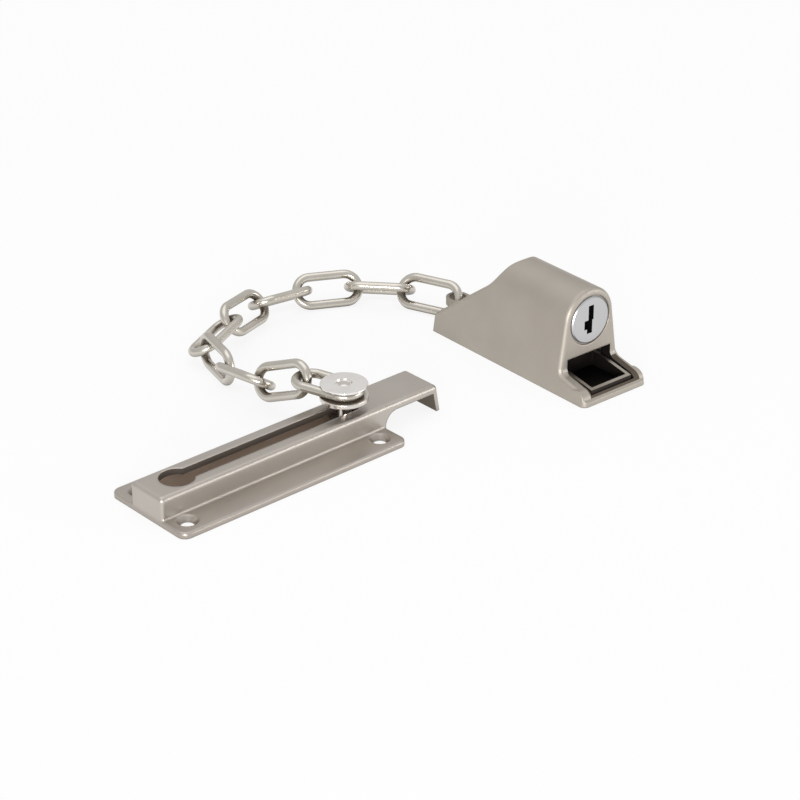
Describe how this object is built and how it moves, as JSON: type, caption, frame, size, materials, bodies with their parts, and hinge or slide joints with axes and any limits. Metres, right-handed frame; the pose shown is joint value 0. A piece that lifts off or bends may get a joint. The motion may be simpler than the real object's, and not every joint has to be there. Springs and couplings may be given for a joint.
{
  "type": "door chain",
  "caption": "Keyed door chain: slotted slide track with a hooked tongue, riveted slider, welded oval links, and a cast lock housing with a cylinder lock and a tilting catch.",
  "frame": {"origin": "middle of the track's four screw holes, on the mounting plane", "axes": "+X along the track towards its tongue, +Z away from the mounting plane"},
  "size_m": [0.1802, 0.1284, 0.0343],
  "materials": {
    "satin_nickel": "satin",
    "satin_nickel_casting": "satin",
    "polished_nickel": "polished",
    "plug_chrome": "satin chrome",
    "catch_nickel": "satin",
    "zinc_steel": "plain zinc plate",
    "spring_steel": "blued",
    "brass_wafer": "plain"
  },
  "bodies": {
    "track": {"slide_track": "satin_nickel"},
    "slider": {"slider_stud": "polished_nickel", "slider_cap": "polished_nickel"},
    "link_01": {"chain_link_01": "polished_nickel"},
    "link_02": {"chain_link_02": "polished_nickel"},
    "link_03": {"chain_link_03": "polished_nickel"},
    "link_04": {"chain_link_04": "polished_nickel"},
    "link_05": {"chain_link_05": "polished_nickel"},
    "link_06": {"chain_link_06": "polished_nickel"},
    "link_07": {"chain_link_07": "polished_nickel"},
    "link_08": {"chain_link_08": "polished_nickel"},
    "link_09": {"chain_link_09": "polished_nickel"},
    "link_10": {"chain_link_10": "polished_nickel"},
    "housing": {"lock_housing": "satin_nickel_casting", "lock_barrel": "plug_chrome", "barrel_clip": "spring_steel", "catch_pin": "zinc_steel", "catch_spring": "spring_steel", "back_plate": "zinc_steel", "plate_screws": "zinc_steel"},
    "plug": {"lock_plug": "plug_chrome", "wafers": "brass_wafer", "lock_cam": "zinc_steel", "cam_screw": "zinc_steel"},
    "catch": {"catch": "catch_nickel"}
  },
  "joints": [
    {"name": "slider_travel", "type": "slide", "parent": "track", "child": "slider", "axis": [1, 0, 0], "range_m": [-0.0671, 0.0025]},
    {"name": "link_01_swing", "type": "hinge", "parent": "slider", "child": "link_01", "pos_m": [0.0341, 0, 0.0164], "axis": [0, 0, 1], "range_deg": [-20, 20]},
    {"name": "link_02_swing", "type": "hinge", "parent": "link_01", "child": "link_02", "pos_m": [0.03052, 0.01329, 0.0164], "axis": [0, 0, -1], "range_deg": [-20, 20]},
    {"name": "link_03_swing", "type": "hinge", "parent": "link_02", "child": "link_03", "pos_m": [0.02645, 0.03307, 0.00921], "axis": [0, 0, 1], "range_deg": [-2.5, 60]},
    {"name": "link_04_swing", "type": "hinge", "parent": "link_03", "child": "link_04", "pos_m": [0.02641, 0.04974, 0.00665], "axis": [0, 0, -1], "range_deg": [-20, 20]},
    {"name": "link_05_swing", "type": "hinge", "parent": "link_04", "child": "link_05", "pos_m": [0.03214, 0.07024, 0.00609], "axis": [0, 0, 1], "range_deg": [-20, 20]},
    {"name": "link_06_swing", "type": "hinge", "parent": "link_05", "child": "link_06", "pos_m": [0.04663, 0.0762, 0.00819], "axis": [0, 0, -1], "range_deg": [-20, 20]},
    {"name": "link_07_swing", "type": "hinge", "parent": "link_06", "child": "link_07", "pos_m": [0.06699, 0.0839, 0.00705], "axis": [0, 0, 1], "range_deg": [-20, 20]},
    {"name": "link_08_swing", "type": "hinge", "parent": "link_07", "child": "link_08", "pos_m": [0.08393, 0.08312, 0.00583], "axis": [0, 0, -1], "range_deg": [-20, 20]},
    {"name": "link_09_swing", "type": "hinge", "parent": "link_08", "child": "link_09", "pos_m": [0.10272, 0.07327, 0.0057], "axis": [0, 0, 1], "range_deg": [-20, 20]},
    {"name": "link_10_swing", "type": "hinge", "parent": "link_09", "child": "link_10", "pos_m": [0.11395, 0.0608, 0.0057], "axis": [0, 0, -1], "range_deg": [-20, 20]},
    {"name": "housing_swing", "type": "hinge", "parent": "link_10", "child": "housing", "pos_m": [0.12098, 0.04002, 0.0062], "axis": [0, 0, 1], "range_deg": [-20, 20]},
    {"name": "key_turn", "type": "hinge", "parent": "housing", "child": "plug", "pos_m": [0.11867, -0.02614, 0.02315], "axis": [0.0349, 0.9994, 0], "range_deg": [0, 90]},
    {"name": "catch_tilt", "type": "hinge", "parent": "housing", "child": "catch", "pos_m": [0.11904, -0.01544, 0.005], "axis": [-0.9994, 0.0349, 0], "range_deg": [0, 9], "deforming": ["catch_spring"]}
  ],
  "couplings": [
    {"joint": "link_03_swing", "follows": "slider_travel", "rad_per_m": -15.607},
    {"joint": "catch_tilt", "follows": "key_turn", "ratio": 0.1}
  ]
}
